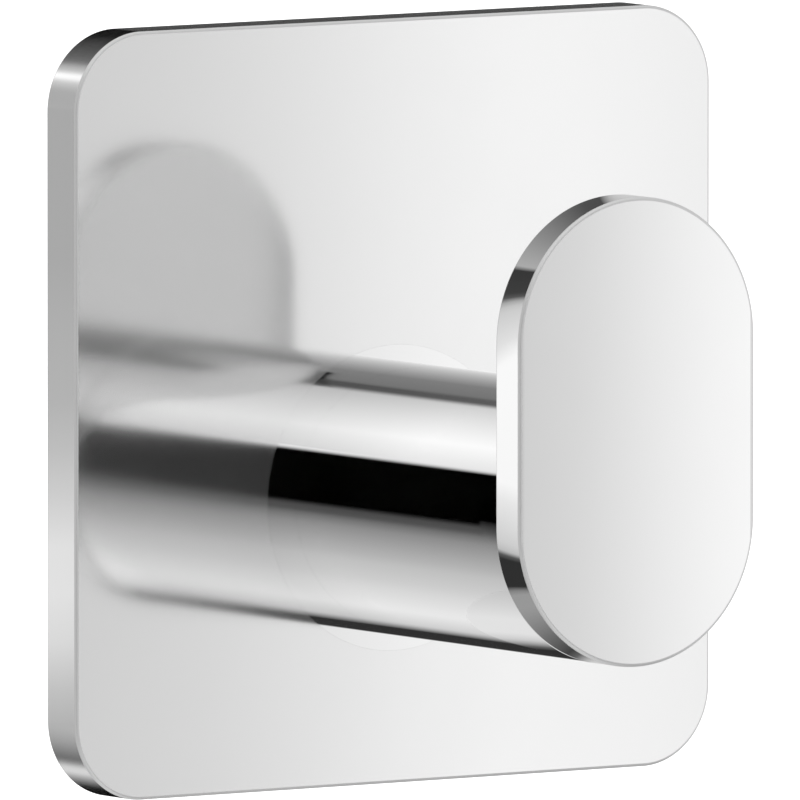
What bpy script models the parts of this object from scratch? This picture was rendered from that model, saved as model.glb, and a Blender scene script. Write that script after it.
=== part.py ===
"""Self-adhesive towel hook of polished stainless steel.

Frame: +Z up, +X right, and -Y out of the wall. The origin is the centre of the
tape's back face, which is the face that meets the wall. Lengths are in metres.
"""

import math

import bmesh
import bpy
from mathutils import Matrix

MM = 0.001

# Wall plate
PLATE_WIDTH = 48.0 * MM
PLATE_HEIGHT = 48.0 * MM
PLATE_THICKNESS = 3.3 * MM
PLATE_CORNER_RADIUS = 5.0 * MM
PLATE_EDGE_ROUNDING = 0.25 * MM

# Post, with a foot let in flush with the plate's front
POST_DIAMETER = 17.1 * MM
POST_LENGTH = 24.0 * MM
POST_FRONT_CHAMFER = 0.15 * MM
FOOT_STEP = 1.05 * MM
FOOT_DEPTH = 1.0 * MM
FOOT_EDGE_CHAMFER = 0.12 * MM

# End plate, whose lower end is flush with the bottom of the post
END_OVERHANG = 0.35 * MM
END_HEIGHT = 29.2 * MM
END_THICKNESS = 2.7 * MM
END_EDGE_ROUNDING = 0.2 * MM

# Threaded boss on the back of the end plate
BOSS_WALL = 2.4 * MM
BOSS_LENGTH = 8.0 * MM
BOSS_CHAMFER = 0.4 * MM

# Countersunk tie screw
SCREW_DIAMETER = 4.0 * MM
SCREW_HEAD_LEDGE = 2.0 * MM
SCREW_HEAD_RIM = 0.25 * MM
SCREW_HEAD_INSET = 0.15 * MM
SCREW_TIP_CHAMFER = 0.5 * MM
SCREW_KEY_SIZE = 2.5 * MM
SCREW_KEY_DEPTH = 1.4 * MM

# Anti-turn pins
PIN_DIAMETER = 2.0 * MM
PIN_CHAMFER = 0.2 * MM
PIN_DEPTH_IN_POST = 3.0 * MM
PIN_HOLE_FRONT_WALL = 1.2 * MM

# Adhesive tape
TAPE_THICKNESS = 1.0 * MM
TAPE_INSET = 1.0 * MM

# Clearances
SEAT_GAP = 0.05 * MM
FOOT_CLEARANCE = 0.05 * MM
PIN_CLEARANCE = 0.05 * MM
BOSS_CLEARANCE = 0.15 * MM
THREAD_CLEARANCE = 0.1 * MM
SCREW_HOLE_CLEARANCE = 0.25 * MM
SCREW_TIP_CLEARANCE = 2.15 * MM
PIN_END_CLEARANCE = 0.2 * MM
CUT_OVERRUN = 1.0 * MM

# Points nearer than this are one point
SAME_POINT = 0.0001 * MM

# Facets
CORNER_FACETS = 10
END_ARC_FACETS = 24
EDGE_FACETS = 3
LARGE_ROUND_FACETS = 72
SMALL_ROUND_FACETS = 36
HEXAGON_FACETS = 6
SHARP_ANGLE_DEGREES = 35

# Places along Y, from the wall outwards
PLATE_BACK = -(TAPE_THICKNESS + SEAT_GAP)
PLATE_FRONT = PLATE_BACK - PLATE_THICKNESS
FOOT_BACK = PLATE_FRONT + FOOT_DEPTH
POST_FRONT = PLATE_FRONT - POST_LENGTH
END_BACK = POST_FRONT - SEAT_GAP
END_FRONT = END_BACK - END_THICKNESS
BOSS_FRONT = END_BACK + SEAT_GAP
BOSS_BACK = BOSS_FRONT + BOSS_LENGTH
SOCKET_FLOOR = BOSS_BACK + SEAT_GAP
SCREW_TOP = PLATE_BACK - SCREW_HEAD_INSET
SCREW_CONE_TOP = SCREW_TOP - SCREW_HEAD_RIM
SCREW_TIP = BOSS_FRONT + SCREW_TIP_CLEARANCE
END_PIN_HOLE_FLOOR = END_FRONT + PIN_HOLE_FRONT_WALL

# Sizes across the wall that follow from the ones above
POST_RADIUS = POST_DIAMETER / 2
FOOT_RADIUS = POST_RADIUS + FOOT_STEP
END_WIDTH = POST_DIAMETER + 2 * END_OVERHANG
SCREW_RADIUS = SCREW_DIAMETER / 2
SCREW_HEAD_RADIUS = SCREW_RADIUS + SCREW_HEAD_LEDGE
SCREW_HOLE_RADIUS = SCREW_RADIUS + SCREW_HOLE_CLEARANCE
BOSS_BORE_RADIUS = SCREW_RADIUS + THREAD_CLEARANCE
BOSS_RADIUS = BOSS_BORE_RADIUS + BOSS_WALL
SOCKET_RADIUS = BOSS_RADIUS + BOSS_CLEARANCE
PIN_RADIUS = PIN_DIAMETER / 2
PIN_HOLE_RADIUS = PIN_RADIUS + PIN_CLEARANCE

# Heights of the axes: each pin is midway between what it has to miss and the post's surface
POST_Z = POST_RADIUS - END_HEIGHT / 2
PLATE_PIN_Z = POST_Z + (SCREW_HEAD_RADIUS + POST_RADIUS) / 2
END_PIN_Z = POST_Z + (SOCKET_RADIUS + POST_RADIUS) / 2


def clear_scene():
    for thing in list(bpy.data.objects):
        bpy.data.objects.remove(thing, do_unlink=True)


def srgb_to_linear(value):
    return value / 12.92 if value <= 0.04045 else ((value + 0.055) / 1.055) ** 2.4


def make_material(name, colour, roughness, metallic):
    """A plain Principled material, with its colour given as an sRGB hex string."""
    material = bpy.data.materials.new(name)
    material.use_nodes = True
    shader = material.node_tree.nodes["Principled BSDF"]
    channels = [int(colour[i : i + 2], 16) / 255 for i in (0, 2, 4)]
    shader.inputs["Base Color"].default_value = (*map(srgb_to_linear, channels), 1)
    shader.inputs["Roughness"].default_value = roughness
    shader.inputs["Metallic"].default_value = metallic
    return material


def add_object(name, mesh, material=None):
    """Puts a finished bmesh into the scene, smooth but for its real edges."""
    data = bpy.data.meshes.new(name)
    mesh.to_mesh(data)
    mesh.free()
    data.shade_smooth()
    data.set_sharp_from_angle(angle=math.radians(SHARP_ANGLE_DEGREES))
    if material:
        data.materials.append(material)
    thing = bpy.data.objects.new(name, data)
    bpy.context.scene.collection.objects.link(thing)
    return thing


def cut(target, cutter):
    """Takes the cutter's shape out of the target, and keeps the cutter as a guide."""
    cutter.hide_render = True
    cutter.display_type = "WIRE"
    modifier = target.modifiers.new("Cut " + cutter.name, "BOOLEAN")
    modifier.operation = "DIFFERENCE"
    modifier.solver = "EXACT"
    modifier.object = cutter


def turned(profile, facets, z):
    """A turned solid round an axis along Y at height z.

    The profile is a closed loop of (radius, y) points. Points of radius 0 lie on
    the axis, and the turn closes on itself there.
    """
    mesh = bmesh.new()
    points = [mesh.verts.new((radius, y, 0)) for radius, y in profile]
    pairs = list(zip(points, points[1:] + points[:1]))
    on_axis = {point for point, (radius, _) in zip(points, profile) if radius == 0}
    edges = [mesh.edges.new(pair) for pair in pairs if not set(pair) <= on_axis]
    bmesh.ops.spin(
        mesh,
        geom=points + edges,
        axis=(0, 1, 0),
        cent=(0, 0, 0),
        angle=math.tau,
        steps=facets,
        use_merge=True,
        use_duplicate=False,
    )
    bmesh.ops.remove_doubles(mesh, verts=mesh.verts, dist=SAME_POINT)
    bmesh.ops.recalc_face_normals(mesh, faces=mesh.faces)
    bmesh.ops.translate(mesh, verts=mesh.verts, vec=(0, 0, z))
    return mesh


def slab(width, height, corner_radius, back, front, corner_facets, rounding=0.0):
    """An upright plate with round corners, its back and front faces square to Y."""
    mesh = bmesh.new()
    upright = Matrix.Rotation(math.pi / 2, 4, "X")
    scaled = upright @ Matrix.Diagonal((width, height, 1, 1))
    bmesh.ops.create_grid(mesh, x_segments=1, y_segments=1, size=0.5, matrix=scaled)
    bmesh.ops.bevel(
        mesh,
        geom=mesh.verts,
        offset=corner_radius,
        offset_type="OFFSET",
        segments=corner_facets,
        profile=0.5,
        affect="VERTICES",
        material=-1,
    )
    bmesh.ops.remove_doubles(mesh, verts=mesh.verts, dist=SAME_POINT)
    bmesh.ops.translate(mesh, verts=mesh.verts, vec=(0, back, 0))
    raised = bmesh.ops.extrude_face_region(mesh, geom=mesh.faces[:])
    raised_points = [item for item in raised["geom"] if isinstance(item, bmesh.types.BMVert)]
    bmesh.ops.translate(mesh, verts=raised_points, vec=(0, front - back, 0))
    bmesh.ops.recalc_face_normals(mesh, faces=mesh.faces)
    if rounding:
        round_rims(mesh, rounding)
    return mesh


def round_rims(mesh, rounding):
    """Rounds the edges where the two flat faces of a slab meet its side."""
    mesh.normal_update()
    flat = [face for face in mesh.faces if abs(face.normal.y) > 0.99]
    rims = {edge for face in flat for edge in face.edges}
    bmesh.ops.bevel(
        mesh,
        geom=list(rims),
        offset=rounding,
        offset_type="OFFSET",
        segments=EDGE_FACETS,
        profile=0.5,
        affect="EDGES",
        material=-1,
    )


def hole_profile(radius, back, front):
    return [(0, back), (radius, back), (radius, front), (0, front)]


def pin_profile(back, front):
    return [
        (0, back),
        (PIN_RADIUS - PIN_CHAMFER, back),
        (PIN_RADIUS, back - PIN_CHAMFER),
        (PIN_RADIUS, front + PIN_CHAMFER),
        (PIN_RADIUS - PIN_CHAMFER, front),
        (0, front),
    ]


def make_wall_plate(steel):
    """Square plate: foot recess in front, countersunk screw hole and pin hole."""
    plate = add_object(
        "wall_plate",
        slab(
            PLATE_WIDTH,
            PLATE_HEIGHT,
            PLATE_CORNER_RADIUS,
            PLATE_BACK,
            PLATE_FRONT,
            CORNER_FACETS,
            PLATE_EDGE_ROUNDING,
        ),
        steel,
    )
    behind = PLATE_BACK + CUT_OVERRUN
    before = PLATE_FRONT - CUT_OVERRUN
    recess = hole_profile(FOOT_RADIUS + FOOT_CLEARANCE, FOOT_BACK + SEAT_GAP, before)
    cut(plate, add_object("foot_recess_cutter", turned(recess, LARGE_ROUND_FACETS, POST_Z)))

    mouth_radius = SCREW_HEAD_RADIUS + SEAT_GAP
    cone_top = SCREW_CONE_TOP - SEAT_GAP
    countersink = [
        (0, behind),
        (mouth_radius, behind),
        (mouth_radius, cone_top),
        (SCREW_HOLE_RADIUS, cone_top - (mouth_radius - SCREW_HOLE_RADIUS)),
        (SCREW_HOLE_RADIUS, before),
        (0, before),
    ]
    cut(plate, add_object("countersink_cutter", turned(countersink, SMALL_ROUND_FACETS, POST_Z)))

    pin_hole = hole_profile(PIN_HOLE_RADIUS, behind, before)
    cut(plate, add_object("plate_pin_cutter", turned(pin_hole, SMALL_ROUND_FACETS, PLATE_PIN_Z)))


def screw_radius_at(y):
    """Radius of the tie screw below the top of its head's cone, which narrows at 45 degrees."""
    return max(SCREW_RADIUS, SCREW_HEAD_RADIUS - (SCREW_CONE_TOP - y))


def make_post(steel):
    """Turned post with a foot, a through hole, a front socket and two pin holes."""
    lead_in_radius = max(screw_radius_at(FOOT_BACK) + SCREW_HOLE_CLEARANCE, SCREW_HOLE_RADIUS + SEAT_GAP)
    profile = [
        (lead_in_radius, FOOT_BACK),
        (FOOT_RADIUS, FOOT_BACK),
        (FOOT_RADIUS, PLATE_FRONT + FOOT_EDGE_CHAMFER),
        (FOOT_RADIUS - FOOT_EDGE_CHAMFER, PLATE_FRONT),
        (POST_RADIUS, PLATE_FRONT),
        (POST_RADIUS, POST_FRONT + POST_FRONT_CHAMFER),
        (POST_RADIUS - POST_FRONT_CHAMFER, POST_FRONT),
        (SOCKET_RADIUS, POST_FRONT),
        (SOCKET_RADIUS, SOCKET_FLOOR),
        (SCREW_HOLE_RADIUS, SOCKET_FLOOR),
        (SCREW_HOLE_RADIUS, FOOT_BACK - (lead_in_radius - SCREW_HOLE_RADIUS)),
    ]
    post = add_object("post", turned(profile, LARGE_ROUND_FACETS, POST_Z), steel)
    rear = hole_profile(PIN_HOLE_RADIUS, FOOT_BACK + CUT_OVERRUN, FOOT_BACK - PIN_DEPTH_IN_POST)
    cut(post, add_object("rear_pin_cutter", turned(rear, SMALL_ROUND_FACETS, PLATE_PIN_Z)))
    front = hole_profile(PIN_HOLE_RADIUS, POST_FRONT + PIN_DEPTH_IN_POST, POST_FRONT - CUT_OVERRUN)
    cut(post, add_object("front_pin_cutter", turned(front, SMALL_ROUND_FACETS, END_PIN_Z)))


def make_end_plate(steel):
    """Upright plate with round ends, and a blind pin hole in its back."""
    plate = add_object(
        "end_plate",
        slab(
            END_WIDTH,
            END_HEIGHT,
            END_WIDTH / 2,
            END_BACK,
            END_FRONT,
            END_ARC_FACETS,
            END_EDGE_ROUNDING,
        ),
        steel,
    )
    pin_hole = hole_profile(PIN_HOLE_RADIUS, END_BACK + CUT_OVERRUN, END_PIN_HOLE_FLOOR)
    cut(plate, add_object("end_pin_cutter", turned(pin_hole, SMALL_ROUND_FACETS, END_PIN_Z)))


def make_threaded_boss(steel):
    """Threaded boss, its thread drawn as a plain bore, seated on the end plate's back."""
    profile = [
        (BOSS_BORE_RADIUS + BOSS_CHAMFER, BOSS_BACK),
        (BOSS_RADIUS - BOSS_CHAMFER, BOSS_BACK),
        (BOSS_RADIUS, BOSS_BACK - BOSS_CHAMFER),
        (BOSS_RADIUS, BOSS_FRONT),
        (BOSS_BORE_RADIUS, BOSS_FRONT),
        (BOSS_BORE_RADIUS, BOSS_BACK - BOSS_CHAMFER),
    ]
    add_object("threaded_boss", turned(profile, SMALL_ROUND_FACETS, POST_Z), steel)


def make_tie_screw(zinc):
    """Countersunk screw with a hexagon socket, its thread drawn as a plain shank."""
    profile = [
        (0, SCREW_TOP),
        (SCREW_HEAD_RADIUS, SCREW_TOP),
        (SCREW_HEAD_RADIUS, SCREW_CONE_TOP),
        (SCREW_RADIUS, SCREW_CONE_TOP - SCREW_HEAD_LEDGE),
        (SCREW_RADIUS, SCREW_TIP + SCREW_TIP_CHAMFER),
        (SCREW_RADIUS - SCREW_TIP_CHAMFER, SCREW_TIP),
        (0, SCREW_TIP),
    ]
    screw = add_object("tie_screw", turned(profile, SMALL_ROUND_FACETS, POST_Z), zinc)
    key_corner_radius = SCREW_KEY_SIZE / math.sqrt(3)
    key = hole_profile(key_corner_radius, SCREW_TOP + CUT_OVERRUN, SCREW_TOP - SCREW_KEY_DEPTH)
    cut(screw, add_object("key_cutter", turned(key, HEXAGON_FACETS, POST_Z)))


def make_pins(steel):
    """The pin from the wall plate into the post, and the pin from the post into the end plate."""
    plate_pin = pin_profile(
        PLATE_BACK - PIN_END_CLEARANCE,
        FOOT_BACK - PIN_DEPTH_IN_POST + PIN_END_CLEARANCE,
    )
    add_object("plate_pin", turned(plate_pin, SMALL_ROUND_FACETS, PLATE_PIN_Z), steel)
    end_pin = pin_profile(
        POST_FRONT + PIN_DEPTH_IN_POST - PIN_END_CLEARANCE,
        END_PIN_HOLE_FLOOR + PIN_END_CLEARANCE,
    )
    add_object("end_pin", turned(end_pin, SMALL_ROUND_FACETS, END_PIN_Z), steel)


def make_adhesive_tape(foam):
    """Foam tape a little smaller than the wall plate. Its back face meets the wall."""
    add_object(
        "adhesive_tape",
        slab(
            PLATE_WIDTH - 2 * TAPE_INSET,
            PLATE_HEIGHT - 2 * TAPE_INSET,
            PLATE_CORNER_RADIUS - TAPE_INSET,
            0.0,
            -TAPE_THICKNESS,
            CORNER_FACETS,
        ),
        foam,
    )


def main():
    clear_scene()
    polished = make_material("polished_stainless_steel", "D6D7D8", 0.06, 1.0)
    turned_steel = make_material("turned_stainless_steel", "C9CACB", 0.25, 1.0)
    zinc = make_material("zinc_plated_steel", "B9BCC0", 0.35, 1.0)
    foam = make_material("acrylic_foam_tape", "3B3D3F", 0.85, 0.0)
    make_wall_plate(polished)
    make_post(polished)
    make_end_plate(polished)
    make_threaded_boss(turned_steel)
    make_tie_screw(zinc)
    make_pins(turned_steel)
    make_adhesive_tape(foam)


main()
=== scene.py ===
"""Looks of a self-adhesive towel hook of polished stainless steel.

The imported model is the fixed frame: +Z up, +X to the right, and -Y out of the wall, in
metres. Each sub-assembly is a class that reads its outer sizes from that frame, builds
its smooth meshes inside them and dresses them in its finishes.
"""

import logging
import math
from collections.abc import Iterable, Sequence
from dataclasses import dataclass, field, replace
from enum import Enum

import bmesh
import bpy
from bmesh.types import BMEdge, BMesh, BMVert
from bpy.types import Material, Node, NodeSocket, NodeTree, Object, World
from mathutils import Matrix, Vector


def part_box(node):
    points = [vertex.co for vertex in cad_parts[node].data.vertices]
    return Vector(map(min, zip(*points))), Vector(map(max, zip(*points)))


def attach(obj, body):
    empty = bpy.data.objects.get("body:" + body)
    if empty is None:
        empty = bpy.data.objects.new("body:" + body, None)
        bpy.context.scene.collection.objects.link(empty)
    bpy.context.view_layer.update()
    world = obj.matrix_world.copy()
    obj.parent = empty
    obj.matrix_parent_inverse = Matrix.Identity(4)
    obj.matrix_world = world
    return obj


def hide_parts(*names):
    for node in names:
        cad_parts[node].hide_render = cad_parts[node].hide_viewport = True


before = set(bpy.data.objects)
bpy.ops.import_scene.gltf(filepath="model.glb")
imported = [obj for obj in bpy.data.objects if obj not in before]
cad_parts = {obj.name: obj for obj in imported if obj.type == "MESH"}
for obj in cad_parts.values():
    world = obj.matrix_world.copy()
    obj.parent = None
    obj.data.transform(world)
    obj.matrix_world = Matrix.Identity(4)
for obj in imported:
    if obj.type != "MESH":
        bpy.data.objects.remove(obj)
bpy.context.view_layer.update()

MM = 0.001
SAME_POINT = 0.0001 * MM
NEAR_POINT = 10 * SAME_POINT
SHARP_DEGREES = 35.0
SCREW_HOLE_STEPS = 96
PIN_HOLE_STEPS = 48
WHITE = (1.0, 1.0, 1.0, 1.0)
LOG = logging.getLogger("towel_hook")

# How much of a face's normal lies along Y: for a flat face, for a face that is a front or
# back at all, and at least for the rounding between the two.
STRAIGHT, MOSTLY, BARELY = 0.999, 0.5, 0.01

# The factor on the coordinates along the grain, which draws the marks out that way.
ALONG_GRAIN = 0.02

# What a node's input takes, and places along a measure with the light at each.
Source = Node | NodeSocket | float
Stops = Sequence[tuple[float, float]]


def middle(node: str) -> Vector:
    """The middle of a node's box."""
    low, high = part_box(node)
    return (low + high) / 2


AXIS_HEIGHT = middle("post").z
PLATE_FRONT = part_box("wall_plate")[0].y


def linear_colour(code: str) -> tuple[float, float, float, float]:
    """Turns an sRGB hex code into a linear colour.

    Args:
        code: Six hex digits, red, green and blue.

    Returns:
        Linear red, green and blue with an alpha of 1.
    """
    channels = [int(code[i : i + 2], 16) / 255 for i in (0, 2, 4)]
    linear = [c / 12.92 if c <= 0.04045 else ((c + 0.055) / 1.055) ** 2.4 for c in channels]
    return (linear[0], linear[1], linear[2], 1.0)


def add_node(tree: NodeTree, kind: str, inputs: dict | None = None, **settings) -> Node:
    """Adds one shader node with its settings, values and links.

    Args:
        tree: The node tree that takes the node.
        kind: Blender's type name of the node, without ShaderNode in front.
        inputs: Input name or number, and what it gets: a value, an output socket, or a
            node whose first output is meant.
        settings: Properties of the node itself.

    Returns:
        The new node.
    """
    node = tree.nodes.new("ShaderNode" + kind)
    for name, value in settings.items():
        setattr(node, name, value)
    for key, value in (inputs or {}).items():
        if isinstance(value, Node):
            value = next(output for output in value.outputs if output.enabled)
        if isinstance(value, NodeSocket):
            tree.links.new(value, node.inputs[key])
        else:
            node.inputs[key].default_value = value
    return node


def empty_tree(owner: Material | World) -> NodeTree:
    """Switches a material or world to nodes and clears the ones that it comes with.

    Args:
        owner: The material or world.

    Returns:
        Its empty node tree.
    """
    owner.use_nodes = True
    owner.node_tree.nodes.clear()
    return owner.node_tree


def split_place(tree: NodeTree, height: float = 0.0) -> Node:
    """Splits a place on the object into X, Y and Z.

    Args:
        tree: The node tree that takes the nodes.
        height: The height that Z is counted from.

    Returns:
        The node with the three parts.
    """
    place = add_node(tree, "TexCoord").outputs["Object"]
    moved = add_node(tree, "Mapping", {"Vector": place, "Location": (0.0, 0.0, -height)})
    return add_node(tree, "SeparateXYZ", {"Vector": moved})


def distance_from_axis(tree: NodeTree, parts: Node) -> Node:
    """The distance from the Y axis of a place or direction that a node has split."""
    flat = add_node(tree, "CombineXYZ", {"X": parts.outputs["X"], "Z": parts.outputs["Z"]})
    return add_node(tree, "VectorMath", {0: flat}, operation="LENGTH")


def degrees_round_axis(tree: NodeTree, parts: Node) -> Node:
    """The angle round the Y axis of a place or direction that a node has split.

    Args:
        tree: The node tree that takes the nodes.
        parts: The node that splits it.

    Returns:
        The node of the angle, from -180 to 180 degrees, counted from -X over the top.
    """
    leftward = add_node(tree, "Math", {0: parts.outputs["X"], 1: -1.0}, operation="MULTIPLY")
    angle = add_node(tree, "Math", {0: parts.outputs["Z"], 1: leftward}, operation="ARCTAN2")
    return add_node(tree, "Math", {0: angle}, operation="DEGREES")


def light_ramp(tree: NodeTree, measure: Source, stops: Stops) -> Node:
    """Lays light out along a measure.

    Args:
        tree: The node tree that takes the nodes.
        measure: The measure, such as a distance or an angle.
        stops: Places along the measure in rising order, each with its light.

    Returns:
        The node of the light, as a plain number.
    """
    first, last = stops[0][0], stops[-1][0]
    share = add_node(tree, "MapRange", {"Value": measure, "From Min": first, "From Max": last})
    ramp = add_node(tree, "ValToRGB", {"Fac": share})
    elements = ramp.color_ramp.elements
    headroom = max(light for _, light in stops) or 1.0
    for number, (where, light) in enumerate(stops):
        position = (where - first) / (last - first)
        stop = elements[number] if number < 2 else elements.new(position)
        stop.position = position
        grey = light / headroom
        stop.color = (grey, grey, grey, 1.0)
    return add_node(tree, "Math", {0: ramp, 1: headroom}, operation="MULTIPLY")


@dataclass(frozen=True)
class Surface:
    """Anything with a name whose material is made of nodes."""

    name: str

    def look(self, tree: NodeTree) -> Source:
        """Adds the surface's nodes to an empty tree and returns its shader."""
        raise NotImplementedError

    def material(self) -> Material:
        """Makes the surface's material.

        Returns:
            The material, with its own node tree.
        """
        made = bpy.data.materials.new(self.name)
        tree = empty_tree(made)
        add_node(tree, "OutputMaterial", {"Surface": self.look(tree)})
        return made


class Grain(Enum):
    """The way that the fine marks of a finish run."""

    ROUND_THE_POST = "rings round the post's axis"
    UPRIGHT = "lines up and down"
    NONE = "no direction"


def grain_coordinates(tree: NodeTree, grain: Grain) -> Source:
    """Coordinates in metres that vary fast across the grain and slowly along it.

    Args:
        tree: The material's node tree.
        grain: The way that the marks run.

    Returns:
        The vector that a texture reads.
    """
    if grain is Grain.ROUND_THE_POST:
        parts = split_place(tree, AXIS_HEIGHT)
        along = add_node(tree, "Math", {0: parts.outputs["X"], 1: ALONG_GRAIN}, operation="MULTIPLY")
        ringed = {"X": distance_from_axis(tree, parts), "Y": parts.outputs["Y"], "Z": along}
        return add_node(tree, "CombineXYZ", ringed)
    place = add_node(tree, "TexCoord").outputs["Object"]
    if grain is Grain.UPRIGHT:
        return add_node(tree, "Mapping", {"Vector": place, "Scale": (1.0, 1.0, ALONG_GRAIN)})
    return place


@dataclass(frozen=True)
class WorkedMetal(Surface):
    """A bare metal with fine marks from how it was worked.

    Two noises make the surface: marks across the grain, which only tilt the reflection a
    little, and a slow haze left by wiping, which only changes how sharp it is. The marks of
    real buffing are a few hundredths of a millimetre apart, which is too fine to show, so
    they are drawn coarser. The scatter is the share of the light that the surface spreads,
    and the image roughness is how many times rougher the metal is where a mirror shows it.
    """

    colour: str
    roughness: float
    haze: float
    grain: Grain
    mark_spacing: float
    mark_depth: float
    mark_layers: float = 3.0
    mark_fineness: float = 0.6
    haze_size: float = 6.0 * MM
    haze_layers: float = 2.0
    haze_range: tuple[float, float] = (0.3, 0.7)
    scatter: float = 0.0
    image_roughness: float = 1.0

    def look(self, tree: NodeTree) -> Source:
        """Adds the metal's nodes.

        Args:
            tree: The material's empty node tree.

        Returns:
            The metal's shader.
        """
        mark_noise = {
            "Vector": grain_coordinates(tree, self.grain),
            "Scale": 1.0 / self.mark_spacing,
            "Detail": self.mark_layers,
            "Roughness": self.mark_fineness,
        }
        marks = add_node(tree, "TexNoise", mark_noise)
        haze_noise = {
            "Vector": add_node(tree, "TexCoord").outputs["Object"],
            "Scale": 1.0 / self.haze_size,
            "Detail": self.haze_layers,
        }
        haze_spread = {
            "Value": add_node(tree, "TexNoise", haze_noise),
            "From Min": self.haze_range[0],
            "From Max": self.haze_range[1],
            "To Min": self.roughness,
            "To Max": self.roughness + self.haze,
        }
        haze = add_node(tree, "MapRange", haze_spread)
        mirrored = add_node(tree, "LightPath").outputs["Is Glossy Ray"]
        rougher = {0: mirrored, 1: self.image_roughness - 1.0, 2: 1.0}
        factor = add_node(tree, "Math", rougher, operation="MULTIPLY_ADD")
        surface = {
            "Base Color": linear_colour(self.colour),
            "Metallic": 1.0,
            "Roughness": add_node(tree, "Math", {0: haze, 1: factor}, operation="MULTIPLY"),
            "Normal": add_node(tree, "Bump", {"Height": marks, "Distance": self.mark_depth}),
        }
        if self.scatter:
            kept = {"Value": mirrored, "To Min": 1.0 - self.scatter, "To Max": 1.0}
            surface["Metallic"] = add_node(tree, "MapRange", kept)
        return add_node(tree, "BsdfPrincipled", surface)


# Austenitic stainless steel, turned and then buffed to a mirror: its image of the room is
# crisp, and only a close look finds the last rings of the buffing.
MIRROR_BUFFED_STEEL = WorkedMetal(
    "stainless_steel_mirror_buffed", "E8E8E8", 0.03, 0.015, Grain.ROUND_THE_POST, 0.18 * MM, 0.00004 * MM
)
# The end plate's steel has the same buffing, but on a belt, so its marks run up and down.
BELT_BUFFED_STEEL = WorkedMetal(
    "stainless_steel_belt_buffed", "E8E8E8", 0.05, 0.02, Grain.UPRIGHT, 0.18 * MM, 0.00004 * MM
)
# The edge has the same buffing on a softer belt: bright to the eye, dull as a mirror image.
BUFFED_EDGE_STEEL = replace(BELT_BUFFED_STEEL, name="stainless_steel_buffed_edge", image_roughness=6.0)
# The end plate's back is belted and left a little greyer, as nobody looks at it straight on.
BELTED_STEEL = WorkedMetal(
    "stainless_steel_belted", "DFDFDF", 0.08, 0.02, Grain.UPRIGHT, 0.18 * MM, 0.00006 * MM
)
# The wall plate's sheet is polished as sheet: bright, but with a haze that softens an image
# the more, the further away its object is. Where the post mirrors it, it looks crisper.
SHEET_POLISHED_STEEL = WorkedMetal(
    "stainless_steel_sheet_polished", "E8E8E8", 0.088, 0.012, Grain.UPRIGHT, 0.25 * MM, 0.00005 * MM,
    scatter=0.035, image_roughness=0.2,
)
# The sheet's cut edge is ground and only brushed bright, so it mirrors nothing clearly.
GROUND_EDGE_STEEL = WorkedMetal(
    "stainless_steel_ground_edge", "E7E7E7", 0.15, 0.03, Grain.UPRIGHT, 0.12 * MM, 0.0001 * MM
)
# Where the faces meet their edges the steel is tumbled, which leaves a soft light line.
TUMBLED_CORNER_STEEL = WorkedMetal(
    "stainless_steel_tumbled_corner", "DCDCDC", 0.42, 0.04, Grain.NONE, 0.10 * MM, 0.0002 * MM
)
# Turned and left bright from the lathe, with rings that a finger could feel.
TURNED_STEEL = WorkedMetal(
    "stainless_steel_turned", "CACACA", 0.25, 0.05, Grain.ROUND_THE_POST, 0.12 * MM, 0.0008 * MM
)
# Zinc on steel, blue passivated: greyer than stainless steel and a little cloudy.
ZINC_PLATED_STEEL = WorkedMetal(
    "steel_zinc_plated", "B4BAC2", 0.32, 0.10, Grain.NONE, 0.4 * MM, 0.0010 * MM, haze_size=1.2 * MM
)


@dataclass(frozen=True)
class ClosedCellFoam(Surface):
    """Acrylic foam tape, cast and die cut: dull charcoal with cells that show at its cut edge."""

    name: str = "acrylic_foam_cast"
    dark: str = "2B2C2E"
    light: str = "4A4C4F"
    cell_size: float = 0.16 * MM
    cell_depth: float = 0.03 * MM
    roughness: float = 0.82

    def look(self, tree: NodeTree) -> Source:
        """Adds the foam's nodes.

        Args:
            tree: The material's empty node tree.

        Returns:
            The foam's shader.
        """
        place = add_node(tree, "TexCoord").outputs["Object"]
        size = {"Vector": place, "Scale": 1.0 / self.cell_size}
        cells = add_node(tree, "TexVoronoi", size, feature="SMOOTH_F1")
        tints = {"Factor": cells, "A": linear_colour(self.dark), "B": linear_colour(self.light)}
        surface = {
            "Base Color": add_node(tree, "Mix", tints, data_type="RGBA"),
            "Roughness": self.roughness,
            "Normal": add_node(tree, "Bump", {"Height": cells, "Distance": self.cell_depth}),
        }
        return add_node(tree, "BsdfPrincipled", surface)


def spun(profile: Sequence[tuple[float, float]], height: float, steps: int) -> BMesh:
    """Turns a closed profile round an axis along Y.

    Args:
        profile: Points of radius and y, in order. Those of radius 0 lie on the axis.
        height: Height of the axis.
        steps: Facets round the axis.

    Returns:
        The turned solid.
    """
    mesh = bmesh.new()
    points = [mesh.verts.new((radius, y, 0.0)) for radius, y in profile]
    centred = {point for point, (radius, _) in zip(points, profile) if radius == 0}
    pairs = zip(points, points[1:] + points[:1])
    edges = [mesh.edges.new(pair) for pair in pairs if not set(pair) <= centred]
    bmesh.ops.spin(
        mesh,
        geom=points + edges,
        axis=(0.0, 1.0, 0.0),
        cent=(0.0, 0.0, 0.0),
        angle=math.tau,
        steps=steps,
        use_merge=True,
    )
    bmesh.ops.remove_doubles(mesh, verts=mesh.verts, dist=SAME_POINT)
    bmesh.ops.recalc_face_normals(mesh, faces=mesh.faces)
    bmesh.ops.translate(mesh, verts=mesh.verts, vec=(0.0, 0.0, height))
    return mesh


def bore(radius: float, back: float, front: float) -> list[tuple[float, float]]:
    """Profile of a plain round hole between two places along Y."""
    return [(0.0, back), (radius, back), (radius, front), (0.0, front)]


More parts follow.
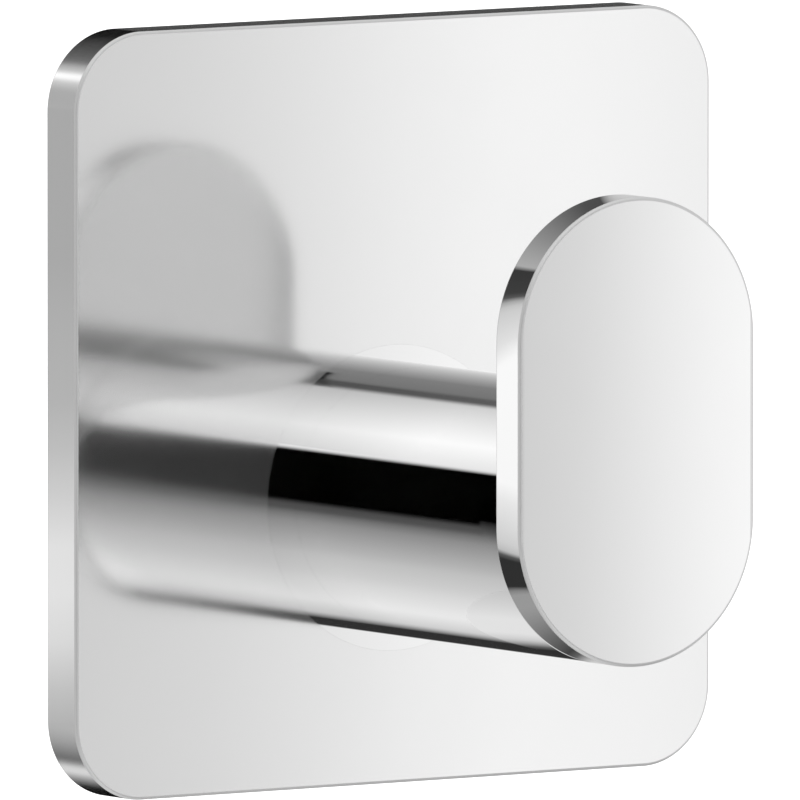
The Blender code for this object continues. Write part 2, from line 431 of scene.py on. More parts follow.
def pin_hole(pin: str, radius: float, back: float, front: float) -> BMesh:
    """The hole of one anti-turn pin, between two places along Y."""
    return spun(bore(radius, back, front), middle(pin).z, PIN_HOLE_STEPS)


def sheet(matrix: Matrix) -> BMesh:
    """Makes one flat square.

    Args:
        matrix: What sizes, turns and places a square of 1 m in X and Y.

    Returns:
        The square.
    """
    mesh = bmesh.new()
    bmesh.ops.create_grid(mesh, x_segments=1, y_segments=1, size=0.5, matrix=matrix)
    return mesh


def round_off(mesh: BMesh, items: Iterable, radius: float, segments: int, affect: str) -> None:
    """Rounds some corners or edges of a mesh to one radius.

    Args:
        mesh: The mesh that is changed.
        items: The vertices or edges that are rounded.
        radius: Radius of the rounding.
        segments: Facets across the rounding.
        affect: VERTICES or EDGES.
    """
    bmesh.ops.bevel(
        mesh,
        geom=list(items),
        offset=radius,
        offset_type="OFFSET",
        segments=segments,
        profile=0.5,
        affect=affect,
        material=-1,
    )


def outline(width: float, height: float, corner: float, y: float, segments: int) -> BMesh:
    """Makes one upright face with round corners, which looks towards -Y.

    Args:
        width: Size along X.
        height: Size along Z.
        corner: Radius of the corners.
        y: Place along Y.
        segments: Facets round each corner.

    Returns:
        The face.
    """
    mesh = sheet(Matrix.Rotation(math.pi / 2, 4, "X") @ Matrix.Diagonal((width, height, 1.0, 1.0)))
    round_off(mesh, mesh.verts, corner, segments, "VERTICES")
    bmesh.ops.remove_doubles(mesh, verts=mesh.verts, dist=SAME_POINT)
    bmesh.ops.translate(mesh, verts=mesh.verts, vec=(0.0, y, 0.0))
    return mesh


def slab(node: str, corner: float, segments: int) -> BMesh:
    """Makes an upright plate with round corners that fills a node's box.

    Args:
        node: The node of the frame that gives the box.
        corner: Radius of the corners.
        segments: Facets round each corner.

    Returns:
        The plate, with sharp rims.
    """
    low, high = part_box(node)
    mesh = outline(high.x - low.x, high.z - low.z, corner, high.y, segments)
    raised = bmesh.ops.extrude_face_region(mesh, geom=mesh.faces[:])["geom"]
    moved = [item for item in raised if isinstance(item, BMVert)]
    bmesh.ops.translate(mesh, verts=moved, vec=(0.0, low.y - high.y, 0.0))
    bmesh.ops.recalc_face_normals(mesh, faces=mesh.faces)
    return mesh


def round_rims(mesh: BMesh, radius: float, segments: int) -> None:
    """Rounds the rims of every face that looks straight along Y.

    Args:
        mesh: The plate that is changed.
        radius: Radius of the rounding.
        segments: Facets across the rounding.
    """
    mesh.normal_update()
    rims = {edge for face in mesh.faces if abs(face.normal.y) > STRAIGHT for edge in face.edges}
    round_off(mesh, rims, radius, segments, "EDGES")


def number_rounding(mesh: BMesh, number: int) -> None:
    """Gives the rounding between a plate's flat faces and its edge a material number.

    Args:
        mesh: The rounded plate.
        number: The number of the rounding's material.
    """
    mesh.normal_update()
    for face in mesh.faces:
        if BARELY < abs(face.normal.y) < STRAIGHT:
            face.material_index = number


def ring_edges(mesh: BMesh, radius: float, y: float) -> list[BMEdge]:
    """Finds a circle round the post's axis.

    Args:
        mesh: The turned mesh.
        radius: The circle's radius.
        y: Its place along the axis.

    Returns:
        The circle's edges.
    """
    def on_ring(point: BMVert) -> bool:
        """Whether a point lies on the circle."""
        away = math.hypot(point.co.x, point.co.z - AXIS_HEIGHT)
        return abs(away - radius) < NEAR_POINT and abs(point.co.y - y) < NEAR_POINT

    return [edge for edge in mesh.edges if on_ring(edge.verts[0]) and on_ring(edge.verts[1])]


def to_object(mesh: BMesh, name: str) -> Object:
    """Puts a finished bmesh in the scene.

    Args:
        mesh: The bmesh, which is used up.
        name: Name of the object and its mesh.

    Returns:
        The object.
    """
    data = bpy.data.meshes.new(name)
    mesh.to_mesh(data)
    mesh.free()
    made = bpy.data.objects.new(name, data)
    bpy.context.scene.collection.objects.link(made)
    return made


def drill(piece: Object, holes: Sequence[BMesh]) -> None:
    """Cuts holes out of a piece for good.

    Args:
        piece: The object that is cut.
        holes: Closed shapes to take away, which are used up.
    """
    cutters = [to_object(hole, f"{piece.name}_hole_{number}") for number, hole in enumerate(holes)]
    for cutter in cutters:
        modifier = piece.modifiers.new(cutter.name, "BOOLEAN")
        modifier.operation = "DIFFERENCE"
        modifier.solver = "EXACT"
        modifier.object = cutter
    solid = piece.data
    piece_now = piece.evaluated_get(bpy.context.evaluated_depsgraph_get())
    cut = bpy.data.meshes.new_from_object(piece_now)
    piece.modifiers.clear()
    piece.data = cut
    bpy.data.meshes.remove(solid)
    cut.name = piece.name
    for cutter in cutters:
        bpy.data.objects.remove(cutter)


def dress_piece(piece: Object, finishes: Sequence[Surface], node: str) -> None:
    """Gives a finished piece its materials and shading, and lets it stand for a node.

    Its flat faces are shaded truly flat, and its real edges stay sharp.

    Args:
        piece: The object.
        finishes: Its finishes, in the order of its faces' material numbers.
        node: The node of the frame.
    """
    for finish in finishes:
        piece.data.materials.append(finish.material())
    piece.data.shade_smooth()
    piece.data.set_sharp_from_angle(angle=math.radians(SHARP_DEGREES))
    piece.modifiers.new("weighted_normals", "WEIGHTED_NORMAL").keep_sharp = True
    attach(piece, "root")
    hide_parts(node)
    LOG.info("%s stands for %s: %d faces", piece.name, node, len(piece.data.polygons))


@dataclass
class WallMount:
    """The square wall plate and the foam tape on its back."""

    corner_radius: float = 5.0 * MM
    edge_rounding: float = 0.2 * MM
    corner_segments: int = 32
    edge_segments: int = 6
    foot_clearance: float = 0.004 * MM
    screw_mouth_radius: float = 4.05 * MM
    screw_hole_radius: float = 2.25 * MM
    screw_mouth_depth: float = 0.45 * MM
    pin_hole_radius: float = 1.05 * MM
    tape_corner_radius: float = 4.0 * MM
    tape_rounding: float = 0.18 * MM
    tape_segments: int = 4
    cut_overrun: float = 1.0 * MM
    plate: Object = field(init=False)
    tape: Object = field(init=False)

    def build(self) -> None:
        """Builds the plate with its recess and holes, and the tape with its rounded sides."""
        self.plate = to_object(self.plate_body(), "wall_plate_sheet")
        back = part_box("wall_plate")[1].y + self.cut_overrun
        front = PLATE_FRONT - self.cut_overrun
        through = pin_hole("plate_pin", self.pin_hole_radius, back, front)
        drill(self.plate, [self.foot_recess(front), self.countersink(back, front), through])
        tape = slab("adhesive_tape", self.tape_corner_radius, self.corner_segments)
        round_rims(tape, self.tape_rounding, self.tape_segments)
        self.tape = to_object(tape, "adhesive_tape_foam")

    def plate_body(self) -> BMesh:
        """Makes the plate before it is drilled.

        Returns:
            The plate, whose faces, cut edge and rounding have the material numbers 0 to 2.
        """
        mesh = slab("wall_plate", self.corner_radius, self.corner_segments)
        for face in mesh.faces:
            face.material_index = 0 if abs(face.normal.y) > MOSTLY else 1
        round_rims(mesh, self.edge_rounding, self.edge_segments)
        number_rounding(mesh, 2)
        return mesh

    def foot_recess(self, cut_front: float) -> BMesh:
        """Makes the shallow round recess that takes the post's foot.

        Args:
            cut_front: Where the cut ends in front of the plate.

        Returns:
            The shape to cut away.
        """
        low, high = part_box("post")
        radius = (high.x - low.x) / 2 + self.foot_clearance
        return spun(bore(radius, high.y + self.foot_clearance, cut_front), AXIS_HEIGHT, Post.steps)

    def countersink(self, cut_back: float, cut_front: float) -> BMesh:
        """Makes the screw hole, with its countersink open to the back.

        Args:
            cut_back: Where the cut starts behind the plate.
            cut_front: Where it ends in front of the plate.

        Returns:
            The shape to cut away.
        """
        shoulder = cut_back - self.cut_overrun - self.screw_mouth_depth
        profile = [
            (0.0, cut_back),
            (self.screw_mouth_radius, cut_back),
            (self.screw_mouth_radius, shoulder),
            (self.screw_hole_radius, shoulder - (self.screw_mouth_radius - self.screw_hole_radius)),
            (self.screw_hole_radius, cut_front),
            (0.0, cut_front),
        ]
        return spun(profile, AXIS_HEIGHT, SCREW_HOLE_STEPS)

    def dress(self) -> None:
        """Gives the plate's face, cut edge and rounding and the tape their finishes."""
        metals = (SHEET_POLISHED_STEEL, GROUND_EDGE_STEEL, TUMBLED_CORNER_STEEL)
        dress_piece(self.plate, metals, "wall_plate")
        dress_piece(self.tape, (ClosedCellFoam(),), "adhesive_tape")


@dataclass
class Post:
    """The turned post, with its foot let in flush with the plate's front."""

    radius: float = 8.55 * MM
    front_rounding: float = 0.15 * MM
    front_segments: int = 4
    socket_radius: float = 4.65 * MM
    socket_depth: float = 8.05 * MM
    screw_hole_radius: float = 2.25 * MM
    pin_hole_radius: float = 1.05 * MM
    pin_hole_depth: float = 3.0 * MM
    cut_overrun: float = 1.5 * MM
    steps: int = 320
    body: Object = field(init=False)

    def build(self) -> None:
        """Turns the post and drills its two pin holes."""
        low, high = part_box("post")
        foot_radius = (high.x - low.x) / 2
        profile = [
            (self.screw_hole_radius, high.y),
            (foot_radius, high.y),
            (foot_radius, PLATE_FRONT),
            (self.radius, PLATE_FRONT),
            (self.radius, low.y),
            (self.socket_radius, low.y),
            (self.socket_radius, low.y + self.socket_depth),
            (self.screw_hole_radius, low.y + self.socket_depth),
        ]
        mesh = spun(profile, AXIS_HEIGHT, self.steps)
        front_edge = ring_edges(mesh, self.radius, low.y)
        round_off(mesh, front_edge, self.front_rounding, self.front_segments, "EDGES")
        self.body = to_object(mesh, "post_turned")
        radius, depth, overrun = self.pin_hole_radius, self.pin_hole_depth, self.cut_overrun
        rear = pin_hole("plate_pin", radius, high.y + overrun, high.y - depth)
        front = pin_hole("end_pin", radius, low.y + depth, low.y - overrun)
        drill(self.body, [rear, front])

    def dress(self) -> None:
        """Gives the post its mirror finish."""
        dress_piece(self.body, (MIRROR_BUFFED_STEEL,), "post")


@dataclass
class EndPlate:
    """The upright plate with round ends that keeps the towel on the post.

    Its front is crowned from side to side by a hair and leans back to the right: the crown
    is how far back that puts its sides, and the lean how far back it puts its middle.
    """

    edge_rounding: float = 0.22 * MM
    crown: float = 0.022 * MM
    lean: float = 0.075 * MM
    end_segments: int = 64
    edge_segments: int = 5
    pin_hole_radius: float = 1.05 * MM
    body: Object = field(init=False)

    def build(self) -> None:
        """Builds the plate and drills its pin hole.

        Its front, edge, back and rounding have the material numbers 0 to 3.
        """
        low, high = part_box("end_plate")
        size = high - low
        mesh = slab("end_plate", size.x / 2, self.end_segments)
        for face in mesh.faces:
            front_or_back = 0 if face.normal.y < 0 else 2
            face.material_index = front_or_back if abs(face.normal.y) > MOSTLY else 1
        round_rims(mesh, self.edge_rounding, self.edge_segments)
        number_rounding(mesh, 3)
        self.strip_faces(mesh)
        for point in mesh.verts:
            forward = (high.y - point.co.y) / size.y
            aside = 2.0 * point.co.x / size.x
            point.co.y += (self.crown * aside**2 + self.lean * (1.0 + aside)) * forward
        self.body = to_object(mesh, "end_plate_round")
        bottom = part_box("end_pin")[0].y
        drill(self.body, [pin_hole("end_pin", self.pin_hole_radius, high.y + size.y, bottom)])

    def strip_faces(self, mesh: BMesh) -> None:
        """Splits the front and back into upright strips, from one round end to the other.

        Args:
            mesh: The plate that is changed.
        """
        for face in [face for face in mesh.faces if len(face.verts) > 4]:
            ends: dict[int, list[BMVert]] = {}
            for point in face.verts:
                ends.setdefault(round(point.co.x / NEAR_POINT), []).append(point)
            for pair in ends.values():
                shared = len(pair) == 2 and set(pair[0].link_faces) & set(pair[1].link_faces)
                joined = shared and any(set(edge.verts) == set(pair) for edge in pair[0].link_edges)
                if shared and not joined:
                    bmesh.ops.connect_verts(mesh, verts=pair)

    def dress(self) -> None:
        """Gives the front, the edge, the back and the rounding their finishes."""
        metals = (BELT_BUFFED_STEEL, BUFFED_EDGE_STEEL, BELTED_STEEL, TUMBLED_CORNER_STEEL)
        dress_piece(self.body, metals, "end_plate")


@dataclass
class HiddenFixings:
    """The boss, screw and pins inside the post, which keep their shapes from the frame."""

    turned: tuple[str, ...] = ("threaded_boss", "plate_pin", "end_pin")
    plated: tuple[str, ...] = ("tie_screw",)

    def dress(self) -> None:
        """Gives the fixings their finishes."""
        for names, finish in ((self.turned, TURNED_STEEL), (self.plated, ZINC_PLATED_STEEL)):
            metal = finish.material()
            for name in names:
                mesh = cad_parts[name].data
                mesh.materials.clear()
                mesh.materials.append(metal)
                LOG.info("%s keeps its shape, in %s", name, metal.name)


@dataclass(frozen=True)
class PhotoCamera:
    """The photograph's long lens, to the left of the hook and a little above it."""

    yaw_degrees: float = 34.306
    pitch_degrees: float = 5.019
    distance: float = 2.22
    lens_mm: float = 1597.7
    sensor_mm: float = 36.0
    right_of_target: float = 0.326 * MM
    above_target: float = 0.071 * MM
    clip_factor: float = 10.0

    def place(self) -> None:
        """Makes the camera, aimed beside the middle of the plate's front face."""
        data = bpy.data.cameras.new("photo_camera")
        data.lens = self.lens_mm
        data.sensor_width = self.sensor_mm
        data.clip_start = self.distance / self.clip_factor
        data.clip_end = self.distance * self.clip_factor
        camera = bpy.data.objects.new("photo_camera", data)
        yaw, pitch = math.radians(self.yaw_degrees), math.radians(self.pitch_degrees)
        level = math.cos(pitch)
        forward = Vector((math.sin(yaw) * level, math.cos(yaw) * level, -math.sin(pitch)))
        turn = forward.to_track_quat("-Z", "Y")
        aside = turn @ Vector((self.right_of_target, self.above_target, self.distance))
        camera.rotation_mode = "QUATERNION"
        camera.rotation_quaternion = turn
        camera.location = Vector((0.0, PLATE_FRONT, 0.0)) + aside
        bpy.context.scene.collection.objects.link(camera)
        bpy.context.scene.camera = camera


@dataclass(frozen=True)
class LightTent:
    """The tent of panels round the hook that its polished faces mirror.

    Three rings of long panels stand round the post's axis: before the hook, at its sides
    and behind it. The post and the plates' edges mirror the one behind, and by way of the
    wall plate the post mirrors the one in front. Straight ahead and straight behind is an
    opening with one even light. A ring's stops are angles round the axis in degrees, from
    -X over the top, and mostly go in twos, the two edges of a panel.
    """

    opening_light: float = 0.75
    opening_start: float = 0.40
    opening_end: float = 0.50
    cone_start: float = 0.70
    cone_end: float = 0.78
    front: Stops = (
        (-180.0, 1.07), (-164.0, 0.98), (-157.0, 0.04), (-132.0, 0.04),
        (-120.0, 0.89), (-100.0, 1.21), (-94.0, 1.19), (-75.0, 1.03),
        (-66.0, 0.925), (-50.0, 0.8), (-43.0, 0.69), (-28.0, 0.50),
        (-21.0, 0.405), (-14.5, 0.25), (-11.0, 0.125), (-7.0, 0.10),
        (-3.5, 0.0), (38.0, 0.0), (41.0, 1.208), (62.0, 1.49),
        (102.5, 0.948), (107.5, 0.155), (113.0, 0.155), (116.0, 0.26),
        (132.5, 0.305), (132.5, 0.32), (180.0, 1.073),
    )
    sides: Stops = (
        (-180.0, 1.036), (-146.0, 0.872), (-140.0, 0.45), (-121.0, 0.45),
        (-112.0, 0.95), (-22.0, 0.62), (-22.0, 0.70), (34.0, 0.62),
        (41.0, 0.93), (130.0, 0.90), (135.0, 0.654), (180.0, 1.036),
    )
    back: Stops = (
        (-180.0, 0.60), (-168.0, 0.45), (-158.0, 0.0), (-123.0, 0.0),
        (-113.0, 0.14), (-105.0, 0.31), (-97.0, 0.52), (-90.0, 0.86),
        (-80.0, 0.86), (-73.5, 0.40), (-66.5, 0.14), (-63.0, 0.15),
        (-57.0, 0.22), (-41.0, 0.38), (-33.0, 0.45), (-17.0, 0.55),
        (7.0, 0.49), (25.0, 0.49), (31.0, 0.60), (39.0, 0.75),
        (44.5, 1.4), (49.5, 1.4), (54.0, 0.66), (63.0, 0.50),
        (70.0, 0.15), (79.0, 0.11), (95.0, 0.07), (112.0, 0.04),
        (130.0, 0.0), (172.0, 0.0), (176.0, 0.3), (180.0, 0.6),
    )

    def light(self) -> None:
        """Makes the world: the tent for reflections, and plain white behind the hook."""
        world = bpy.data.worlds.new("light_tent")
        bpy.context.scene.world = world
        tree = empty_tree(world)
        direction = add_node(tree, "TexCoord").outputs["Generated"]
        parts = add_node(tree, "SeparateXYZ", {"Vector": direction})
        inward = parts.outputs["Y"]
        angle = degrees_round_axis(tree, parts)
        front, sides, back = (light_ramp(tree, angle, ring) for ring in (self.front, self.sides, self.back))
        before = self.crossing(tree, inward, (-self.cone_end, -self.cone_start), (front, sides))
        tent = self.crossing(tree, inward, (self.cone_start, self.cone_end), (before, back))
        opening = (self.opening_start, self.opening_end)
        from_axis = distance_from_axis(tree, parts)
        light = self.crossing(tree, from_axis, opening, (self.opening_light, tent))
        studio = add_node(tree, "Background", {"Color": WHITE, "Strength": light})
        backdrop = add_node(tree, "Background", {"Color": WHITE, "Strength": 1.0})
        seen = add_node(tree, "LightPath").outputs["Is Camera Ray"]
        shown = add_node(tree, "MixShader", {0: seen, 1: studio, 2: backdrop})
        add_node(tree, "OutputWorld", {"Surface": shown})

    def crossing(
        self,
        tree: NodeTree,
        measure: Source,
        places: tuple[float, float],
        lights: tuple[Source, Source],
    ) -> Source:
        """Goes over smoothly from one light to another.

        Args:
            tree: The world's node tree.
            measure: What is measured.
            places: Where the first light ends and where the second one starts.
            lights: The two lights.

        Returns:
            The light.
        """
        share = {"Value": measure, "From Min": places[0], "From Max": places[1]}
        step = add_node(tree, "MapRange", share, interpolation_type="SMOOTHSTEP")
        return add_node(tree, "Mix", {"Factor": step, "A": lights[0], "B": lights[1]})


@dataclass(frozen=True)
class Card(Surface):
    """A light or dark sheet near the hook, which only its polished faces see."""

    def shape(self) -> BMesh:
        """Makes the card's mesh."""
        raise NotImplementedError

    def place(self) -> Object:
        """Puts the card in the scene, hidden from the camera and the shadows.

        Returns:
            The card's object.
        """
        card = to_object(self.shape(), self.name)
        card.data.materials.append(self.material())
        card.visible_camera = False
        card.visible_diffuse = False
        card.visible_shadow = False
        return card


def lit_in_front(tree: NodeTree, strength: Source) -> Source:
    """Lights a card in front and leaves it clear from behind.

    Args:
        tree: The node tree of the card's material.
        strength: The light in front.

    Returns:
        The card's shader.
    """
    light = add_node(tree, "Emission", {"Strength": strength})
    behind = add_node(tree, "NewGeometry").outputs["Backfacing"]
    return add_node(tree, "MixShader", {0: behind, 1: light, 2: add_node(tree, "BsdfTransparent")})


def after_two_mirrors(tree: NodeTree, look: Source) -> Source:
    """Keeps a card for light that goes between post and plate, and clears it for the rest.

    Args:
        tree: The node tree of the card's material.
        look: The card's own shader.

    Returns:
        The shader that is clear until the light has met two mirrors.
    """
    met = add_node(tree, "LightPath").outputs["Glossy Depth"]
    twice = add_node(tree, "Math", {0: met, 1: 1.0}, operation="GREATER_THAN")
    return add_node(tree, "MixShader", {0: twice, 1: add_node(tree, "BsdfTransparent"), 2: look})


@dataclass(frozen=True)
class RingCard(Card):
    """A card round a plate's outline, which looks away from the wall.

    Its light changes with the angle round its middle, in degrees from -X over the top.
    """

    depth: float
    width: float
    height: float
    corner: float
    reach: float
    stops: Stops
    segments: int = 24

    def shape(self) -> BMesh:
        """Makes the card.

        Returns:
            The outline, wider by the reach all round, without its middle.
        """
        width, height = self.width + 2 * self.reach, self.height + 2 * self.reach
        mesh = outline(width, height, self.corner + self.reach, self.depth, self.segments)
        inner = mesh.faces[:]
        bmesh.ops.inset_region(
            mesh, faces=inner, thickness=self.reach, use_boundary=True, use_even_offset=True
        )
        bmesh.ops.delete(mesh, geom=inner, context="FACES")
        return mesh

    def look(self, tree: NodeTree) -> Source:
        """Adds the card's nodes and returns its shader."""
        angle = degrees_round_axis(tree, split_place(tree))
        return lit_in_front(tree, light_ramp(tree, angle, self.stops))


# Close behind the end plate's rim, where only that rim mirrors it.
END_PLATE_RING = RingCard(
    "end_plate_rim_card",
    depth=-28.375 * MM,
    width=17.8 * MM,
    height=29.2 * MM,
    corner=8.9 * MM,
    reach=2.4 * MM,
    stops=(
        (-180.0, 0.70), (-93.0, 0.70), (-84.0, 0.66), (-81.3, 0.42),
        (-78.7, 0.13), (-76.0, 0.06), (-68.0, 0.18), (-62.5, 0.285),
        (-56.8, 0.38), (-51.0, 0.38), (-49.8, 0.035), (-39.6, 0.035),
        (-38.2, 0.60), (-35.6, 0.75), (-23.0, 0.978), (-17.0, 1.147),
        (25.0, 1.169), (31.1, 0.92), (40.6, 0.75), (43.0, 0.62),
        (45.2, 0.06), (53.6, 0.045), (54.8, 0.50), (64.2, 0.32),
        (75.3, 0.15), (80.7, 0.09), (86.0, 0.08), (88.0, 0.45),
        (90.5, 0.62), (94.0, 0.65), (180.0, 0.70),
    ),
)

# Level with the wall plate's face, so that the post mirrors no sudden end of the plate.
WALL_PLATE_RING = RingCard(
    "wall_plate_ring",
    depth=-4.40 * MM,
    width=47.4 * MM,
    height=47.4 * MM,
    corner=4.7 * MM,
    reach=9.0 * MM,
    stops=(
        (-180.0, 0.50), (-150.0, 0.50), (-126.0, 0.75), (-122.0, 0.03),
        (-106.7, 0.03), (-102.7, 0.14), (-95.2, 0.71), (-89.0, 0.90),
        (-77.0, 0.92), (-65.0, 0.77), (-55.0, 0.66), (-40.0, 0.47),
        (-27.5, 0.31), (-20.3, 0.10), (-12.7, 0.0), (4.0, 0.0),
        (12.0, 1.0), (105.0, 1.0), (130.0, 0.75), (155.0, 0.50),
        (180.0, 0.50),
    ),
)


@dataclass(frozen=True)
class SideStrip(Card):
    """A narrow card behind the straight left side of the wall plate's rim.

    Its light changes with height, so that the flat side has the grading of a near lamp.
    """

    name: str = "wall_plate_side_strip"
    depth: float = -1.03 * MM
    inner_x: float = -24.02 * MM
    width: float = 3.0 * MM
    height: float = 38.6 * MM
    corner: float = 0.1 * MM
    stops: Stops = (
        (-19.3 * MM, 0.56), (-17.2 * MM, 0.66), (-14.2 * MM, 0.86), (-11.2 * MM, 0.94),
        (-8.2 * MM, 0.93), (-5.2 * MM, 0.77), (-2.2 * MM, 0.64), (0.8 * MM, 0.56),
        (6.8 * MM, 0.52), (9.8 * MM, 0.49), (19.3 * MM, 0.49),
    )

    def shape(self) -> BMesh:
        """Makes the strip.

        Returns:
            The strip, which looks away from the wall.
        """
        mesh = outline(self.width, self.height, self.corner, self.depth, 1)
        bmesh.ops.translate(mesh, verts=mesh.verts, vec=(self.inner_x - self.width / 2, 0.0, 0.0))
        return mesh

    def look(self, tree: NodeTree) -> Source:
        """Adds the strip's nodes and returns its shader."""
        height = split_place(tree).outputs["Z"]
        return lit_in_front(tree, light_ramp(tree, height, self.stops))


@dataclass(frozen=True)
class Flag(Card):
    """A plain card square to the post's axis, which rises to the left."""

    centre_x: float
    centre_z: float
    length: float
    thickness: float
    rise_degrees: float
    light: float
    depth: float = -60.0 * MM

    def shape(self) -> BMesh:
        """Makes the card.

        Returns:
            The card, with its front to the wall.
        """
        rise = Matrix.Rotation(math.radians(self.rise_degrees), 4, "Y")
        towards_wall = Matrix.Rotation(-math.pi / 2, 4, "X")
        size = Matrix.Diagonal((self.length, self.thickness, 1.0, 1.0))
        where = Matrix.Translation((self.centre_x, self.depth, self.centre_z)) @ rise @ towards_wall
        return sheet(where @ size)

    def look(self, tree: NodeTree) -> Source:
        """Adds the card's nodes and returns its shader."""
        return after_two_mirrors(tree, lit_in_front(tree, self.light))


# The black one darkens the post's image in its foot, at the upper left, and the grey one
# lightens the upper band of its image in the wall plate.
FLAGS = (
    Flag("foot_flag", 11.0 * MM, 34.2 * MM, 14.0 * MM, 2.2 * MM, 25.0, 0.0),
    Flag("image_flag", 31.5 * MM, 53.3 * MM, 25.0 * MM, 9.0 * MM, 28.0, 0.85),
)


@dataclass(frozen=True)
class Gauze(Card):
    """Grey gauze before the hook, cut as part of a ring round the post's axis.

    It dims the tent behind it, and the share of light that it lets through changes with
    the distance from the axis. Its start and end are angles in degrees round that axis,
    from -X over the top.
    """

    start: float
    end: float
    stops: Stops
    depth: float = -60.0 * MM
    steps: int = 24

    def shape(self) -> BMesh:
        """Makes the gauze.

        Returns:
            The part of a ring, with a row of faces round the axis.
        """
        mesh = bmesh.new()
        turn = Matrix.Rotation(math.radians(self.start), 4, "Y")
        reaches = (self.stops[0][0], self.stops[-1][0])
        ends = [mesh.verts.new(turn @ Vector((-reach, self.depth, 0.0))) for reach in reaches]
        bmesh.ops.spin(
            mesh,
            geom=[*ends, mesh.edges.new(ends)],
            axis=(0.0, 1.0, 0.0),
            cent=(0.0, 0.0, 0.0),
            angle=math.radians(self.end - self.start),
            steps=self.steps,
        )
        bmesh.ops.translate(mesh, verts=mesh.verts, vec=(0.0, 0.0, AXIS_HEIGHT))
        return mesh

    def look(self, tree: NodeTree) -> Source:
        """Adds the gauze's nodes.

        Args:
            tree: The material's empty node tree.

        Returns:
            The gauze's shader.
        """
        reach = distance_from_axis(tree, split_place(tree, AXIS_HEIGHT))
        weave = add_node(tree, "BsdfTransparent", {"Color": light_ramp(tree, reach, self.stops)})
        return after_two_mirrors(tree, weave)


# They dim the post's bands towards the wall and in its image in the wall plate.
GAUZES = (
    Gauze(
        "upper_gauze", 39.0, 105.0,
        ((30.0 * MM, 0.79), (45.0 * MM, 0.79), (47.0 * MM, 0.83), (51.5 * MM, 0.91), (56.0 * MM, 1.0)),
    ),
    Gauze("lower_gauze", -118.0, -9.0, ((30.0 * MM, 0.87), (44.0 * MM, 0.89), (49.0 * MM, 1.0))),
)


@dataclass(frozen=True)
class SideLightCard(Card):
    """A graded card to the front right, which the flat faces mirror.

    It stands near enough for its grading to run across each face, darker to the left.
    The grading's places are distances from its middle, to the right.
    """

    name: str = "side_light_card"
    distance: float = 0.45
    half_width: float = 0.16
    half_height: float = 0.07
    soft_border: float = 0.03
    stops: Stops = (
        (-0.120, 0.76), (-0.060, 0.70), (-0.035, 0.678), (-0.022, 0.77),
        (-0.0175, 0.777), (-0.012, 0.82), (-0.004, 0.985), (0.004, 1.125),
        (0.012, 1.19), (0.020, 1.10), (0.040, 0.978), (0.120, 0.744),
    )

    def shape(self) -> BMesh:
        """Makes the card, flat in X and Y."""
        return sheet(Matrix.Diagonal((2 * self.half_width, 2 * self.half_height, 1.0, 1.0)))

    def place(self) -> Object:
        """Puts the card square to the line of sight as the wall plate mirrors it.

        Returns:
            The card's object.
        """
        card = super().place()
        turn = bpy.context.scene.camera.matrix_basis.to_quaternion()
        sight = turn @ Vector((0.0, 0.0, -1.0))
        mirrored = Vector((sight.x, -sight.y, sight.z))
        card.rotation_mode = "QUATERNION"
        card.rotation_quaternion = (-mirrored).to_track_quat("Z", "Y")
        card.location = Vector((0.0, PLATE_FRONT, 0.0)) + mirrored * self.distance
        return card

    def look(self, tree: NodeTree) -> Source:
        """Adds the nodes of the graded light, which fades out at its border.

        Args:
            tree: The material's empty node tree.

        Returns:
            The card's shader.
        """
        parts = split_place(tree).outputs
        rightward = add_node(tree, "Math", {0: parts["X"], 1: -1.0}, operation="MULTIPLY")
        light = add_node(tree, "Emission", {"Strength": light_ramp(tree, rightward, self.stops)})
        across = self.inside(tree, parts["X"], self.half_width)
        upright = self.inside(tree, parts["Y"], self.half_height)
        cover = add_node(tree, "Math", {0: across, 1: upright}, operation="MULTIPLY")
        return add_node(tree, "MixShader", {0: cover, 1: add_node(tree, "BsdfTransparent"), 2: light})

    def inside(self, tree: NodeTree, place: Source, half: float) -> Source:
        """Fades the card out over its soft border.

        Args:
            tree: The material's node tree.
            place: The place along the card's width or height, from its middle.
            half: Half of that width or height.

        Returns:
            A share that is 1 on the card and falls to 0 over its border.
        """
        fading = {
            "Value": add_node(tree, "Math", {0: place}, operation="ABSOLUTE"),
            "From Min": half - self.soft_border,
            "From Max": half,
            "To Min": 1.0,
            "To Max": 0.0,
        }
        return add_node(tree, "MapRange", fading, interpolation_type="SMOOTHSTEP")


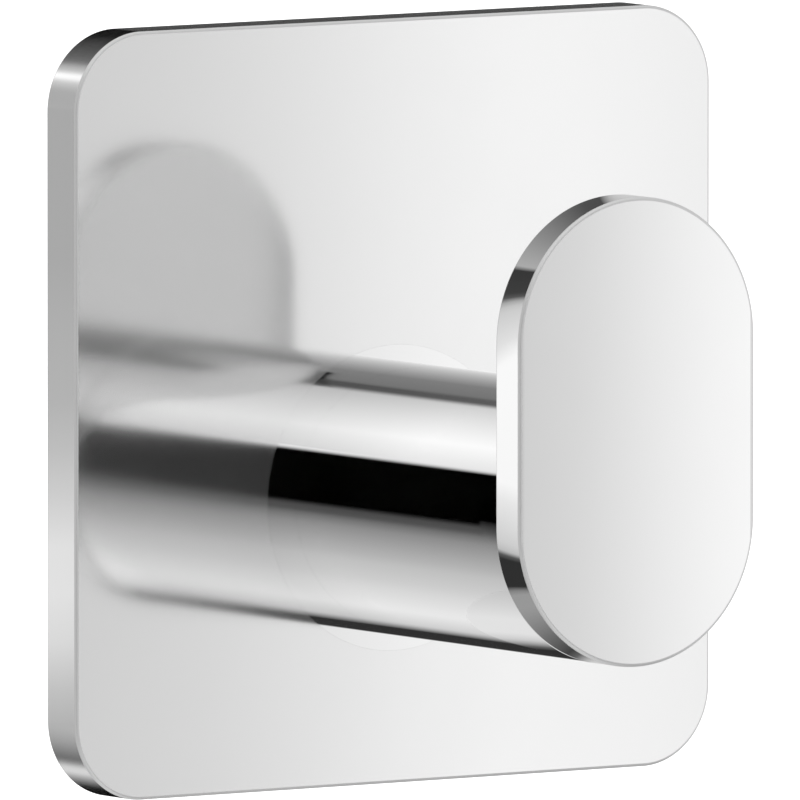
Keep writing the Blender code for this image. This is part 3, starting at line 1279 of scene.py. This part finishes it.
@dataclass(frozen=True)
class Floor(Surface):
    """A plain pale floor below the hook, and the soft lamp above it."""

    name: str = "floor_white_paint"
    drop: float = 0.12
    size: float = 12.0
    colour: str = "F4F4F4"
    glow: float = 0.72
    lamp_place: tuple[float, float, float] = (-0.2, -0.3, 0.9)
    lamp_size: float = 0.8
    lamp_watts: float = 6.0

    def place(self) -> None:
        """Makes the floor and the lamp."""
        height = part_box("wall_plate")[0].z - self.drop
        size = Matrix.Diagonal((self.size, self.size, 1.0, 1.0))
        floor = to_object(sheet(Matrix.Translation((0.0, 0.0, height)) @ size), "pale_floor")
        floor.visible_glossy = False
        floor.data.materials.append(self.material())
        lamp = bpy.data.lights.new("soft_lamp", "AREA")
        lamp.shape = "DISK"
        lamp.size = self.lamp_size
        lamp.energy = self.lamp_watts
        above = bpy.data.objects.new("soft_lamp", lamp)
        above.location = self.lamp_place
        above.rotation_euler = (-Vector(self.lamp_place)).to_track_quat("-Z", "Y").to_euler()
        above.visible_glossy = False
        above.visible_camera = False
        bpy.context.scene.collection.objects.link(above)

    def look(self, tree: NodeTree) -> Source:
        """Adds the paint's nodes.

        Args:
            tree: The material's empty node tree.

        Returns:
            The paint's shader: white to the camera but for shadow, and clear from below.
        """
        paint = add_node(tree, "BsdfDiffuse", {"Color": linear_colour(self.colour)})
        seen = add_node(tree, "LightPath").outputs["Is Camera Ray"]
        glow = add_node(tree, "Math", {0: seen, 1: self.glow}, operation="MULTIPLY")
        lit = add_node(tree, "AddShader", {0: paint, 1: add_node(tree, "Emission", {"Strength": glow})})
        below = add_node(tree, "NewGeometry").outputs["Backfacing"]
        return add_node(tree, "MixShader", {0: below, 1: lit, 2: add_node(tree, "BsdfTransparent")})


def main() -> None:
    """Places the camera, builds and dresses the hook, and lights it."""
    logging.basicConfig(level=logging.INFO, format="%(message)s")
    bpy.context.scene.view_settings.view_transform = "Standard"
    PhotoCamera().place()
    for assembly in (WallMount(), Post(), EndPlate()):
        assembly.build()
        assembly.dress()
    HiddenFixings().dress()
    LightTent().light()
    for card in (SideLightCard(), END_PLATE_RING, WALL_PLATE_RING, SideStrip(), *FLAGS, *GAUZES):
        card.place()
    Floor().place()


if __name__ == "__main__":
    main()
